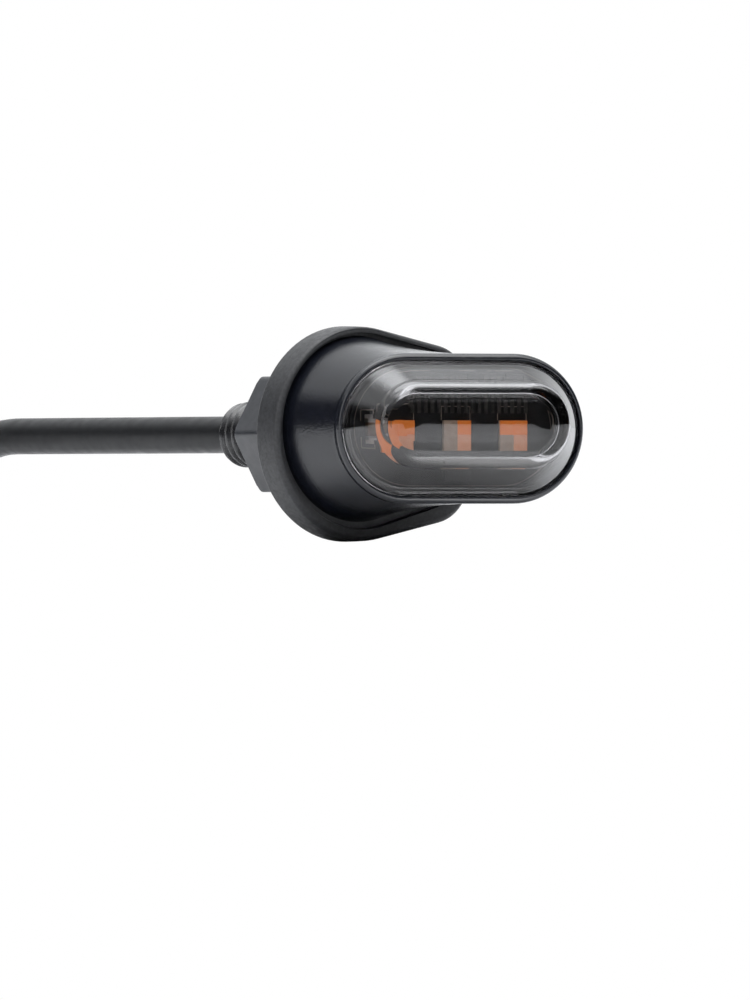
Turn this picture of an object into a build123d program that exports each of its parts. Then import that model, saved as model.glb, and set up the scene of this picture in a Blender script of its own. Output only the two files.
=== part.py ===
"""A compact LED turn signal for a motorcycle, held in a panel by a hollow threaded stud.

Millimetres. +Z is up and the stud runs back along +Y. The lamp faces -Y. The origin is on the
stud's axis, at the back face of the rubber mounting gasket, which is where the panel's skin sits.
The lens end is called the nose. Its rim lies in a plane that is turned WEDGE degrees about Z.
"""

from build123d import *
import math
import os

# Stud, nut and the pieces clamped between them
STUD_DIAMETER = 8.0
STUD_BORE = 5.0
STUD_END = 20.2
THREAD_CLEARANCE = 0.06
FLANGE_RADIUS = 5.5
FLANGE_THICKNESS = 1.4
CLAMP_GAP = 2.9
FLAT_WASHER_DIAMETER = 16.0
FLAT_WASHER_THICKNESS = 1.6
SPRING_WASHER_DIAMETER = 14.8
SPRING_WASHER_THICKNESS = 2.0
SPRING_WASHER_SLIT = 1.2
SPRING_WASHER_SLANT = 25.0
NUT_ACROSS_FLATS = 14.0
NUT_THICKNESS = 5.0
NUT_TURNED_DIAMETER = 16.5
NUT_CHAMFER = 0.9

# Rubber gasket
GASKET_RADIUS = 13.0
GASKET_TIP = 16.4
GASKET_CORNER = 5.75
GASKET_FLANK_ANGLE = 12.0
GASKET_THICKNESS = 4.0
GASKET_RECESS = 1.0
GASKET_LIP_GAP = 0.85
GASKET_TIP_GAP = 1.2
GASKET_FRONT_ROUND = 0.6
GASKET_BACK_ROUND = 0.4

# Housing: an egg-shaped foot that flares into an obround nose
FLANK_ANGLE = 15.4
FOOT_RADIUS = 11.2
FOOT_TIP = 13.4
FOOT_CORNER = 4.5
FLOOR_THICKNESS = 2.0
FOOT_WALL = 2.4
WEDGE = 15.0
NOSE_X = 5.2
NOSE_FORWARD = 16.9
NOSE_RISE = 0.6
NOSE_STRAIGHT = 6.9
RIM_HALF_HEIGHT = 9.0
RIM_DEPTH = 1.5
RIM_ROUND = 0.8
MOUTH_HALF_HEIGHT = 8.1
MOUTH_DEPTH = 1.4
BOARD_LEDGE = 0.9

# Lens: a thin-walled bulge with a raised obround crown
LENS_HALF_HEIGHT = 8.0
LENS_EDGE_TOP = -0.2
SHOULDER_HALF_HEIGHT = 5.3
SHOULDER_TOP = 4.1
SHOULDER_RISE = 0.35
CROWN_HALF_HEIGHT = 4.3
CROWN_TOP = 5.3
CROWN_RISE = 0.65
LENS_WALL = 1.5
LENS_SEAL_THICKNESS = 0.3
LENS_SEAL_WIDTH = 0.75

# Circuit board and what is soldered to it
BOARD_HALF_HEIGHT = 6.6
BOARD_STRAIGHT = 6.1
BOARD_CLEARANCE = 0.2
BOARD_FRONT = -2.6
BOARD_THICKNESS = 1.0
LED_PITCH = 7.27
LED_SIDE = 3.5
LED_THICKNESS = 0.7
LED_WINDOW_SIDE = 3.1
LED_WINDOW_DEPTH = 0.35
LED_DROP = 0.75
CAPACITOR_SIZE = (1.6, 3.2, 1.2)
CAPACITOR_PLACE = (-10.6, -0.2)
DIODE_SIZE = (3.6, 1.6, 1.0)
DIODE_PLACE = (0.0, -4.9)
RESISTOR_SIZE = (2.0, 1.25, 0.5)
RESISTOR_PLACES = [(-7.4, 4.6), (-2.5, 4.9), (2.5, 4.9), (7.4, 4.6)]
DRIVER_SIZE = (5.0, 4.0, 1.1)
DRIVER_PLACE = (5.5, 0.0)
POTTING_TOP = -4.3
SOLDER_RADIUS = 1.0
SOLDER_THICKNESS = 0.4

# Leads inside the lamp
LEAD_DIAMETER = 1.5
LEAD_OFFSET = 1.1
STUD_SEAL_THICKNESS = 0.8
STUD_SEAL_DIAMETER = 10.6
JACKET_START = 9.0
MOUTH_SEAL_START = 16.5
MOUTH_SEAL_END = 19.4

# Cable: straight out of the stud, down to the surface, then a tied two-layer coil
CABLE_DIAMETER = 4.5
LAID_HEIGHT = -10.1
CABLE_ROUTE = [
    (0.0, STUD_END, 0.0),
    (0.0, 78.0, 0.0),
    (14.0, 106.0, LAID_HEIGHT),
    (14.0, 122.5, LAID_HEIGHT),
]
ARC_SHARE = 0.45
COIL_RADIUS = 22.5
COIL_WEB_WIDTH = 3.15
TOP_LAYER_ANGLE = 246.0
TIE_ANGLE = 130.0
TIE_WIDTH = 2.6
TIE_THICKNESS = 0.6
TIE_CLEARANCE = 0.05
TIE_HEAD = (4.4, 4.6, 3.6)

# Two-way plug on the cable's end, lying on the coil
PLUG_LENGTH = 14.0
PLUG_WIDTH = 8.4
PLUG_HEIGHT = 5.4
PLUG_ROUND = 0.8
PLUG_SOCKET_DEPTH = 7.0
PLUG_WALL = 1.1
LATCH_SIZE = (7.0, 2.6, 0.8)
LATCH_CENTRE = 8.4
PLUG_TURN = 12.0
PLUG_START_ANGLE = 250.0
BOOT_LENGTH = 5.0
BOOT_END_RADIUS = 2.7
BOOT_RADIUS = 2.6
TERMINAL_DIAMETER = 1.5
TERMINAL_LENGTH = 6.0
TERMINAL_PITCH = 3.4

FIT = 0.05
DEEP = 60.0

WEDGE_SINE = math.sin(math.radians(WEDGE))
WEDGE_COSINE = math.cos(math.radians(WEDGE))
NOSE = Plane(
    origin=(NOSE_X, -NOSE_FORWARD, NOSE_RISE),
    x_dir=(WEDGE_COSINE, -WEDGE_SINE, 0),
    z_dir=(-WEDGE_SINE, -WEDGE_COSINE, 0),
)


def facing(y, rise=0.0):
    """A plane across the stud's axis that looks forward, along -Y."""
    return Plane(origin=(0, y, rise), x_dir=(1, 0, 0), z_dir=(0, -1, 0))


def across(y):
    """A plane across the stud's axis that looks back, along +Y."""
    return Plane(origin=(0, y, 0), x_dir=(1, 0, 0), z_dir=(0, 1, 0))


def face_of(plane, edges):
    return plane * make_face(Wire(edges))


def egg(plane, radius, tip, corner, flank_angle=FLANK_ANGLE):
    """A round end of the given radius about the axis, straight flanks that close in, and a blunt tip."""
    sine = math.sin(math.radians(flank_angle))
    cosine = math.cos(math.radians(flank_angle))
    corner_x = tip - corner
    corner_y = (radius - corner - corner_x * sine) / cosine
    flank = (radius * sine, radius * cosine)
    turn = (corner_x + corner * sine, corner_y + corner * cosine)
    half = math.radians(45 - flank_angle / 2)
    bend = (corner_x + corner * math.cos(half), corner_y + corner * math.sin(half))
    return face_of(
        plane,
        [
            Edge.make_three_point_arc((flank[0], -flank[1]), (-radius, 0), flank),
            Edge.make_line(flank, turn),
            Edge.make_three_point_arc(turn, bend, (tip, corner_y)),
            Edge.make_line((tip, corner_y), (tip, -corner_y)),
            Edge.make_three_point_arc((tip, -corner_y), (bend[0], -bend[1]), (turn[0], -turn[1])),
            Edge.make_line((turn[0], -turn[1]), (flank[0], -flank[1])),
        ],
    )


def obround(plane, half_height, straight):
    """An obround whose right end is three arcs, so that it lofts from an egg edge by edge."""

    def right(angle):
        along = math.radians(angle)
        return (straight + half_height * math.cos(along), half_height * math.sin(along))

    top_left = (-straight, half_height)
    bottom_left = (-straight, -half_height)
    far_left = (-straight - half_height, 0)
    return face_of(
        plane,
        [
            Edge.make_three_point_arc(bottom_left, far_left, top_left),
            Edge.make_line(top_left, right(90)),
            Edge.make_three_point_arc(right(90), right(60), right(30)),
            Edge.make_three_point_arc(right(30), right(0), right(-30)),
            Edge.make_three_point_arc(right(-30), right(-60), right(-90)),
            Edge.make_line(right(-90), bottom_left),
        ],
    )


def slot(plane, half_height, straight=NOSE_STRAIGHT, rise=0.0):
    return plane * Pos(0, rise) * SlotCenterToCenter(2 * straight, 2 * half_height)


def nose_slab(half_height, low, high, straight=NOSE_STRAIGHT):
    """An obround slab between two heights over the rim's plane."""
    return extrude(slot(NOSE.offset(low), half_height, straight), high - low)


def ring(start, end, outer, inner):
    """A ring about the stud's axis, from start to end along Y."""
    disc = across(start) * (Circle(outer) - Circle(inner))
    return extrude(disc, end - start)


def nose_box(place, size, base):
    """A box that stands on the given height over the rim's plane."""
    centre = NOSE * Pos(place[0], place[1], base + size[2] / 2)
    return centre * Box(*size)


def floor_top():
    """How far the housing's inner floor is in front of the gasket's back face."""
    return GASKET_THICKNESS - GASKET_RECESS + FLOOR_THICKNESS


def board_back():
    return BOARD_FRONT - BOARD_THICKNESS


def make_cavity():
    """The space behind the circuit board, down to the housing's floor."""
    foot = egg(
        facing(-floor_top(), NOSE_RISE),
        FOOT_RADIUS - FOOT_WALL,
        FOOT_TIP - FOOT_WALL,
        FOOT_CORNER - FOOT_WALL / 2,
    )
    top = obround(NOSE.offset(board_back()), BOARD_HALF_HEIGHT - BOARD_LEDGE, BOARD_STRAIGHT)
    return loft([foot, top], ruled=True)


def make_housing(cavity):
    foot = egg(facing(GASKET_RECESS - GASKET_THICKNESS, NOSE_RISE), FOOT_RADIUS, FOOT_TIP, FOOT_CORNER)
    flare = loft([foot, obround(NOSE.offset(-RIM_DEPTH), RIM_HALF_HEIGHT, NOSE_STRAIGHT)], ruled=True)
    rim = nose_slab(RIM_HALF_HEIGHT, -RIM_DEPTH, 0)
    rim = fillet(rim.faces().sort_by(NOSE.location.z_axis)[-1].edges(), RIM_ROUND)
    mouth = nose_slab(MOUTH_HALF_HEIGHT, -MOUTH_DEPTH, 0)
    pocket = nose_slab(BOARD_HALF_HEIGHT + BOARD_CLEARANCE, board_back(), 0, BOARD_STRAIGHT)
    stud_hole = extrude(across(-floor_top() - FIT) * Circle(STUD_DIAMETER / 2 + FIT), floor_top())
    return flare + rim - cavity - mouth - pocket - stud_hole


def make_lens():
    edge_base = LENS_SEAL_THICKNESS - MOUTH_DEPTH
    edge = nose_slab(LENS_HALF_HEIGHT, edge_base, LENS_EDGE_TOP)
    shoulder = loft(
        [
            slot(NOSE.offset(LENS_EDGE_TOP), LENS_HALF_HEIGHT),
            slot(NOSE.offset(SHOULDER_TOP), SHOULDER_HALF_HEIGHT, rise=SHOULDER_RISE),
        ],
        ruled=True,
    )
    crown = loft(
        [
            slot(NOSE.offset(SHOULDER_TOP), SHOULDER_HALF_HEIGHT, rise=SHOULDER_RISE),
            slot(NOSE.offset(CROWN_TOP), CROWN_HALF_HEIGHT, rise=CROWN_RISE),
        ],
        ruled=True,
    )
    hollow_edge = nose_slab(LENS_HALF_HEIGHT - LENS_WALL, edge_base, LENS_EDGE_TOP)
    hollow_top = NOSE.offset(SHOULDER_TOP - LENS_WALL / 2)
    hollow = loft(
        [
            slot(NOSE.offset(LENS_EDGE_TOP), LENS_HALF_HEIGHT - LENS_WALL),
            slot(hollow_top, SHOULDER_HALF_HEIGHT - LENS_WALL, rise=SHOULDER_RISE),
        ],
        ruled=True,
    )
    return edge + shoulder + crown - hollow_edge - hollow


def make_lens_seal():
    low = -MOUTH_DEPTH
    high = low + LENS_SEAL_THICKNESS
    outer = nose_slab(LENS_HALF_HEIGHT, low, high)
    return outer - nose_slab(LENS_HALF_HEIGHT - LENS_SEAL_WIDTH, low, high)


def make_board():
    return nose_slab(BOARD_HALF_HEIGHT, board_back(), BOARD_FRONT, BOARD_STRAIGHT)


def led_place(index):
    return (index * LED_PITCH, -LED_DROP)


def make_led(index):
    body = nose_box(led_place(index), (LED_SIDE, LED_SIDE, LED_THICKNESS), BOARD_FRONT)
    return body - make_window(index)


def make_window(index):
    base = BOARD_FRONT + LED_THICKNESS - LED_WINDOW_DEPTH
    return nose_box(led_place(index), (LED_WINDOW_SIDE, LED_WINDOW_SIDE, LED_WINDOW_DEPTH), base)


def behind_board(solid):
    """What is left of a solid behind the board's back face."""
    front = NOSE.offset(board_back()) * Pos(0, 0, DEEP / 2) * Box(DEEP, DEEP, DEEP)
    return solid - front


def make_lead(side):
    rod = extrude(facing(JACKET_START) * Pos(side * LEAD_OFFSET, 0) * Circle(LEAD_DIAMETER / 2), DEEP / 2)
    return behind_board(rod)


def make_solder(side, lead):
    """A flat fillet of solder on the board's back, round one lead."""
    back = board_back()
    across_wedge = side * LEAD_OFFSET - NOSE_X
    place = (across_wedge / WEDGE_COSINE + back * WEDGE_SINE / WEDGE_COSINE, -NOSE_RISE)
    pad = NOSE.offset(back - SOLDER_THICKNESS) * Pos(*place) * Circle(SOLDER_RADIUS)
    return extrude(pad, SOLDER_THICKNESS) - lead


def make_driver():
    return nose_box(DRIVER_PLACE, DRIVER_SIZE, board_back() - DRIVER_SIZE[2])


def make_stud():
    front = -floor_top() - STUD_SEAL_THICKNESS
    shank = ring(front - FLANGE_THICKNESS, STUD_END, STUD_DIAMETER / 2, STUD_BORE / 2)
    flange = ring(front - FLANGE_THICKNESS, front, FLANGE_RADIUS, STUD_BORE / 2)
    return shank + flange


def make_stud_seal():
    front = -floor_top() - STUD_SEAL_THICKNESS
    return ring(front, -floor_top(), STUD_SEAL_DIAMETER / 2, STUD_DIAMETER / 2 + FIT)


def make_potting(cavity, buried):
    top = NOSE.offset(POTTING_TOP) * Pos(0, 0, DEEP / 2) * Box(DEEP, DEEP, DEEP)
    front = -floor_top() - STUD_SEAL_THICKNESS - FLANGE_THICKNESS
    bore = extrude(across(front) * Circle(FLANGE_RADIUS), -front)
    fill = cavity - top - bore
    for solid in buried:
        fill = fill - solid
    return fill


def make_gasket():
    outline = egg(facing(0), GASKET_RADIUS, GASKET_TIP, GASKET_CORNER, GASKET_FLANK_ANGLE)
    pad = extrude(outline, GASKET_THICKNESS)
    ends = pad.faces().sort_by(Axis.Y)
    pad = fillet(ends[0].edges(), GASKET_FRONT_ROUND)
    pad = fillet(pad.faces().sort_by(Axis.Y)[-1].edges(), GASKET_BACK_ROUND)
    seat = egg(
        facing(GASKET_RECESS - GASKET_THICKNESS, NOSE_RISE),
        FOOT_RADIUS + GASKET_LIP_GAP,
        FOOT_TIP + GASKET_TIP_GAP,
        FOOT_CORNER + GASKET_LIP_GAP,
    )
    hole = extrude(across(-GASKET_THICKNESS) * Circle(STUD_DIAMETER / 2 + FIT), GASKET_THICKNESS)
    return pad - extrude(seat, 2 * GASKET_RECESS) - hole


def bore_radius():
    return STUD_DIAMETER / 2 + THREAD_CLEARANCE


def make_flat_washer():
    start = CLAMP_GAP
    return ring(start, start + FLAT_WASHER_THICKNESS, FLAT_WASHER_DIAMETER / 2, bore_radius())


def spring_washer_start():
    return CLAMP_GAP + FLAT_WASHER_THICKNESS


def make_spring_washer():
    start = spring_washer_start()
    end = start + SPRING_WASHER_THICKNESS
    whole = ring(start, end, SPRING_WASHER_DIAMETER / 2, bore_radius())
    radius = SPRING_WASHER_DIAMETER / 2
    place = Pos(0, (start + end) / 2, radius / 2) * Rot(Z=SPRING_WASHER_SLANT)
    slit = place * Box(SPRING_WASHER_SLIT, 2 * SPRING_WASHER_THICKNESS, radius)
    return whole - slit


def make_nut():
    start = spring_washer_start() + SPRING_WASHER_THICKNESS
    hexagon = RegularPolygon(NUT_ACROSS_FLATS / math.sqrt(3), 6)
    block = extrude(across(start) * hexagon, NUT_THICKNESS)
    turned = extrude(across(start) * Circle(NUT_TURNED_DIAMETER / 2), NUT_THICKNESS)
    turned = chamfer(turned.edges(), NUT_CHAMFER)
    hole = extrude(across(start) * Circle(bore_radius()), NUT_THICKNESS)
    return (block & turned) - hole


def make_jacket_end():
    return extrude(across(JACKET_START) * Circle(CABLE_DIAMETER / 2), STUD_END - JACKET_START)


def make_mouth_seal():
    return ring(MOUTH_SEAL_START, MOUTH_SEAL_END, STUD_BORE / 2, CABLE_DIAMETER / 2)


def corner_radii(route):
    """Each corner's arc is as large as its two runs allow."""
    radii = []
    for before, corner, after in zip(route, route[1:], route[2:]):
        arriving = Vector(*corner) - Vector(*before)
        leaving = Vector(*after) - Vector(*corner)
        half_turn = math.radians(arriving.get_angle(leaving) / 2)
        shorter = min(arriving.length, leaving.length)
        radii.append(ARC_SHARE * shorter / math.tan(half_turn))
    return radii


def make_cable():
    radii = corner_radii(CABLE_ROUTE)
    path = FilletPolyline(*CABLE_ROUTE, radius=radii)
    tube = sweep(across(STUD_END) * Circle(CABLE_DIAMETER / 2), path=path)
    section = math.pi * (CABLE_DIAMETER / 2) ** 2
    print("cable corner radii", [round(r, 1) for r in radii])
    print("cable run", round(path.length, 2), "volume share", round(tube.volume / (section * path.length), 5))
    return tube


def coil_centre():
    end = CABLE_ROUTE[-1]
    return (end[0] - COIL_RADIUS, end[1])


def coil_axis():
    return Axis((*coil_centre(), 0), (0, 0, 1))


def coil_section(height):
    """A round section of the coil at its start, at the given height."""
    end = CABLE_ROUTE[-1]
    plane = Plane(origin=(end[0], end[1], height), x_dir=(1, 0, 0), z_dir=(0, 1, 0))
    return plane * Circle(CABLE_DIAMETER / 2)


def make_coil():
    """The outer shape of the turns: a full ring below and most of a ring on it, joined by a web."""
    start = CABLE_ROUTE[-1]
    upper = LAID_HEIGHT + CABLE_DIAMETER
    lower_ring = revolve(coil_section(LAID_HEIGHT), axis=coil_axis(), revolution_arc=360)
    middle = Plane(
        origin=(start[0], start[1], (LAID_HEIGHT + upper) / 2),
        x_dir=(1, 0, 0),
        z_dir=(0, 1, 0),
    )
    web = middle * Rectangle(COIL_WEB_WIDTH, CABLE_DIAMETER)
    stack = coil_section(upper) + web
    upper_ring = revolve(stack, axis=coil_axis(), revolution_arc=TOP_LAYER_ANGLE)
    return lower_ring + upper_ring


def on_coil(angle, height):
    """A plane at an angle round the coil, with its x axis along the turn and its z axis up."""
    along = math.radians(angle)
    centre = coil_centre()
    return Plane(
        origin=(
            centre[0] + COIL_RADIUS * math.cos(along),
            centre[1] + COIL_RADIUS * math.sin(along),
            height,
        ),
        x_dir=(-math.sin(along), math.cos(along), 0),
        z_dir=(0, 0, 1),
    )


def make_tie():
    """A flat strap round both layers, with its square head on the inner side."""
    middle = LAID_HEIGHT + CABLE_DIAMETER / 2
    inner_width = CABLE_DIAMETER + 2 * TIE_CLEARANCE
    inner_height = 2 * CABLE_DIAMETER + 2 * TIE_CLEARANCE
    place = on_coil(TIE_ANGLE, middle)
    outer = place * Box(TIE_WIDTH, inner_width + 2 * TIE_THICKNESS, inner_height + 2 * TIE_THICKNESS)
    outer = fillet(outer.edges().filter_by(place.location.x_axis), TIE_THICKNESS)
    inner = place * Box(DEEP, inner_width, inner_height)
    head_place = place * Pos(0, inner_width / 2 + TIE_HEAD[1] / 2, 0)
    head = head_place * Box(*TIE_HEAD)
    return outer - inner + head


def plug_frame():
    """Where the cable enters the plug: x runs along the plug, z is up."""
    height = LAID_HEIGHT + CABLE_DIAMETER / 2 + PLUG_HEIGHT / 2 + FIT
    return on_coil(PLUG_START_ANGLE, height) * Rot(Z=PLUG_TURN)


def make_plug():
    frame = plug_frame()
    body = frame * Pos(PLUG_LENGTH / 2, 0, 0) * Box(PLUG_LENGTH, PLUG_WIDTH, PLUG_HEIGHT)
    body = fillet(body.edges().filter_by(frame.x_axis), PLUG_ROUND)
    mouth_x = PLUG_LENGTH - PLUG_SOCKET_DEPTH / 2
    mouth = frame * Pos(mouth_x, 0, 0) * Box(
        PLUG_SOCKET_DEPTH, PLUG_WIDTH - 2 * PLUG_WALL, PLUG_HEIGHT - 2 * PLUG_WALL
    )
    latch = frame * Pos(LATCH_CENTRE, 0, (PLUG_HEIGHT + LATCH_SIZE[2]) / 2) * Box(*LATCH_SIZE)
    return body - mouth + latch


def make_terminals():
    frame = plug_frame()
    start = PLUG_LENGTH - PLUG_SOCKET_DEPTH
    pins = []
    for side in (-1, 1):
        pin_frame = frame * Pos(start + TERMINAL_LENGTH / 2, side * TERMINAL_PITCH / 2, 0) * Rot(Y=90)
        pins.append(pin_frame * Cylinder(TERMINAL_DIAMETER / 2, TERMINAL_LENGTH))
    return Compound(children=pins)


def make_boot():
    frame = plug_frame() * Rot(Y=-90)
    return frame * Pos(0, 0, BOOT_LENGTH / 2) * Cone(BOOT_RADIUS, BOOT_END_RADIUS, BOOT_LENGTH)


def make_chips(places, size):
    return Compound(children=[nose_box(place, size, BOARD_FRONT) for place in places])


def build():
    cavity = make_cavity()
    stud = make_stud()
    stud_seal = make_stud_seal()
    leads = {side: make_lead(side) for side in (-1, 1)}
    solder = {side: make_solder(side, leads[side]) for side in (-1, 1)}
    driver = make_driver()
    buried = [driver, *leads.values(), *solder.values()]
    parts = {
        "housing": make_housing(cavity),
        "lens": make_lens(),
        "lens_seal": make_lens_seal(),
        "circuit_board": make_board(),
        "led_windows": Compound(children=[make_window(index) for index in (-1, 0, 1)]),
        "capacitor": make_chips([CAPACITOR_PLACE], CAPACITOR_SIZE),
        "protection_diode": make_chips([DIODE_PLACE], DIODE_SIZE),
        "chip_resistors": make_chips(RESISTOR_PLACES, RESISTOR_SIZE),
        "driver_chip": driver,
        "potting": make_potting(cavity, buried),
        "stud_seal": stud_seal,
        "hollow_stud": stud,
        "lead_positive": leads[1],
        "lead_negative": leads[-1],
        "solder_joints": Compound(children=list(solder.values())),
        "mount_gasket": make_gasket(),
        "flat_washer": make_flat_washer(),
        "spring_washer": make_spring_washer(),
        "hex_nut": make_nut(),
        "jacket_end": make_jacket_end(),
        "mouth_seal": make_mouth_seal(),
        "cable": make_cable(),
        "cable_coil": make_coil(),
        "cable_tie": make_tie(),
        "plug_boot": make_boot(),
        "plug_housing": make_plug(),
        "plug_terminals": make_terminals(),
    }
    for name, index in (("led_left", -1), ("led_centre", 0), ("led_right", 1)):
        parts[name] = make_led(index)
    return parts


os.makedirs("parts", exist_ok=True)
for name, solid in build().items():
    export_step(solid, f"parts/{name}.step")
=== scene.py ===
"""The looks of a compact LED turn signal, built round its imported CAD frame. Metres, +Z up."""

import math

import bmesh
import bpy
from mathutils import Matrix, Vector


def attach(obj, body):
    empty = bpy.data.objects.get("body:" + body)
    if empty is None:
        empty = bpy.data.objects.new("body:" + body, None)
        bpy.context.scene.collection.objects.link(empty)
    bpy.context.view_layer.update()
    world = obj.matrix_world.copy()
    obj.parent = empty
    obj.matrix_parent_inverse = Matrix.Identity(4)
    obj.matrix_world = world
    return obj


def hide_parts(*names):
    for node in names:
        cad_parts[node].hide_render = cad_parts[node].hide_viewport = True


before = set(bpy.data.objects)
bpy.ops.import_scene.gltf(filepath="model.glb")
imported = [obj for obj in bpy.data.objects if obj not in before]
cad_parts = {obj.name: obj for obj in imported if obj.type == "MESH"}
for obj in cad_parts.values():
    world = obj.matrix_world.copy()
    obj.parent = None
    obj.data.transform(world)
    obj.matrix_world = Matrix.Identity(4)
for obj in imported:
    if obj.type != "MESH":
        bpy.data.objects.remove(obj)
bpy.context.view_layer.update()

MM = 0.001

# ---------------------------------------------------------------- driving sizes, in millimetres
WEDGE = math.radians(15.0)
NOSE_ORIGIN = Vector((5.2, -16.9, 0.6))
NOSE_ALONG = Vector((math.cos(WEDGE), -math.sin(WEDGE), 0.0))
NOSE_OUT = Vector((-math.sin(WEDGE), -math.cos(WEDGE), 0.0))
NOSE_STRAIGHT = 6.9
LENS_STRAIGHT = 7.2
BOARD_STRAIGHT = 6.1
BOARD_FRONT = -2.6
BOARD_BACK = -3.6
BOARD_HALF_HEIGHT = 6.6
BOARD_EDGE_BREAK = 0.08
BOARD_EDGE_DROP = 0.1
RIM_OUTSIDE = 9.0
RIM_INSIDE = 8.06
RIM_MIDDLE = 8.5
RIM_STEP = -1.3
COLLAR = (8.86, -1.62)
POCKET_RADIUS = 6.85
POCKET_START = -1.4
LEDGE_RADIUS = 5.7
CENTRE_HOLE = 0.2
LED_PITCH = 7.27
LED_DROP = 0.75
LED_SIDE = 3.5
CAPACITOR_PLACE = (-10.3, 0.0)
LED_BODY_THICKNESS = 0.45
LED_BEVEL = 0.08
WINDOW_GAP = 0.03
WINDOW_THICKNESS = 0.24
WINDOW_BASE = 0.44
PRINT_LINE = 0.09
PRINT_THICKNESS = 0.03
PRINT_EDGE = 6.32
BRACKET_LINE = 0.14
BRACKET_BARS = [
    (-0.25, 2.1, 1.8, BRACKET_LINE),
    (-1.15, 1.5, BRACKET_LINE, 1.2),
    (0.65, 1.9, BRACKET_LINE, 0.5),
]
LED_FRAME_WIDTH = 3.7
LED_FRAME_HEIGHT = 1.7
LABEL_LINE_HEIGHT = 5.75
LABEL_LINES = [(-5.2, 3.6), (1.6, 2.0), (4.4, 0.5), (6.4, 2.6)]
PAD_PITCH = 0.86
PAD_START = -5.6
PAD_ROWS = (2.5, 4.3)
PADS_IN_ROW = 18
PAD_SIZE = (0.42, 1.25, 0.22)
CHIP_BEVEL = 0.06
CAPACITOR_SIZE = (1.1, 1.9, 0.95)
CAPACITOR_CAP = (1.16, 0.42, 1.02)
CAPACITOR_CAP_OFFSET = 0.95
CAPACITOR_FOOT = (1.2, 0.6, 0.06)
CAPACITOR_FOOT_OFFSET = 1.3
CAPACITOR_BEVEL = 0.04
RESISTOR_PLACES = [(-7.4, 4.7), (-2.5, 4.7), (2.5, 4.7), (7.4, 4.7)]
RESISTOR_SIZE = (1.9, 1.2, 0.45)
DIODE_PLACES = [(0.0, -4.9)]
DIODE_SIZE = (3.4, 1.6, 0.95)
FLANK = math.radians(15.4)
HOUSING_RISE = 0.6
FOOT = (11.2, 13.4, 4.5)
POCKET_FLOOR = (8.8, 11.0, 3.3)
GASKET = (13.0, 16.4, 5.75)
GASKET_TIP_GAP = 0.35
CROWN_RISE = 0.65
CROWN_RISE_START = -0.2
CROWN_RISE_REACH = 5.4
GASKET_FLANK = math.radians(12.0)
GASKET_DEPTH = 4.0
FOOT_DEPTH = 3.0
FLOOR_DEPTH = 5.0
STUD_RADIUS = 4.0
STUD_END = 20.2
STUD_BORE = 2.5
THREAD_PITCH = 1.25
THREAD_DEPTH = 0.68
THREAD_CREST = 0.14
THREAD_ROOT = 0.80
THREAD_START = -5.8
THREAD_FADE = 1.5
THREAD_ROWS = 14
STUD_CHAMFER = 0.22
STUD_MOUTH_CHAMFER = 0.25
STUD_FLANGE = [(2.5, -7.2), (5.4, -7.2), (5.5, -7.1), (5.5, -5.8), (4.0, -5.8)]
SEAT_GAP = 0.05
BORE_GAP = 0.06
NUT_START = 6.5
NUT_END = 11.5
NUT_FLATS = 14.0
NUT_CHAMFER_DEPTH = 1.0
NUT_CHAMFER_STEPS = 14
NUT_CHAMFER_CURVE = 1.5
NUT_CORNER_CUT = 0.42
NUT_CORNER_SLOPE = 1.6
NUT_CORNER_ROUND = 0.12
NUT_CORNER_LEFT = 0.15
NUT_MOUTH_WIDTH = 0.45
NUT_MOUTH_DEPTH = 0.5
SPRING_SECTION = [(4.12, 4.62), (7.4, 4.62), (7.4, 6.38), (4.12, 6.38)]
SPRING_MIDDLE = 5.5
SPRING_HALF_HEIGHT = 0.88
SPRING_GAP = math.radians(9.0)
SPRING_SLANT = math.radians(10.0)
SPRING_LIFT = 0.1
SPRING_BEVEL = 0.12

# Profiles. Each corner is (distance, height, rounding); the height is over the rim's plane, or depth.
RIM_PROFILE = [
    (8.84, -1.60, 0),
    (8.80, -1.42, 0.03),
    (9.0, -1.36, 0.06),
    (9.0, 0.0, 0.62),
    (8.06, 0.0, 0.30),
    (8.06, -1.4, 0),
]
LENS_OUTSIDE = [
    (8.0, -1.1, 0),
    (8.0, -0.12, 0.22),
    (5.35, 3.72, 0.30),
    (4.93, 4.98, 1.65),
    (2.4, 5.25, 2.0),
    (0.15, 5.28, 0),
]
LENS_INSIDE = [
    (0.15, 3.55, 0),
    (3.1, 3.5, 0.6),
    (3.65, 3.3, 0.3),
    (6.6, -0.4, 0.3),
    (6.6, -1.1, 0),
]
GASKET_PROFILE = [
    (-6.0, 0.0, 0),
    (0.0, 0.0, 0.35),
    (-0.05, 2.4, 0),
    (-0.12, GASKET_DEPTH, 0.62),
    (-0.80, GASKET_DEPTH, 0),
]
GASKET_GROOVE = [(0.92, GASKET_DEPTH - 0.06), (0.85, GASKET_DEPTH - 0.2), (0.85, FOOT_DEPTH)]
WASHER_PROFILE = [
    (STUD_RADIUS + BORE_GAP, 3.7, 0),
    (STUD_RADIUS + BORE_GAP, 2.9, 0.15),
    (8.0, 2.9, 0.3),
    (8.0, 4.5, 0.3),
    (STUD_RADIUS + BORE_GAP, 4.5, 0.15),
    (STUD_RADIUS + BORE_GAP, 3.8, 0),
]

# How finely the outlines and the turned pieces are divided.
ARC_STEPS = 54
LINE_STEPS = 18
CORNER_STEPS = 14
FLARE_STEPS = 14
STUD_STEPS = 96
NUT_STEPS = 180
WASHER_STEPS = 120
COIL_STEPS = 16

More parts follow.
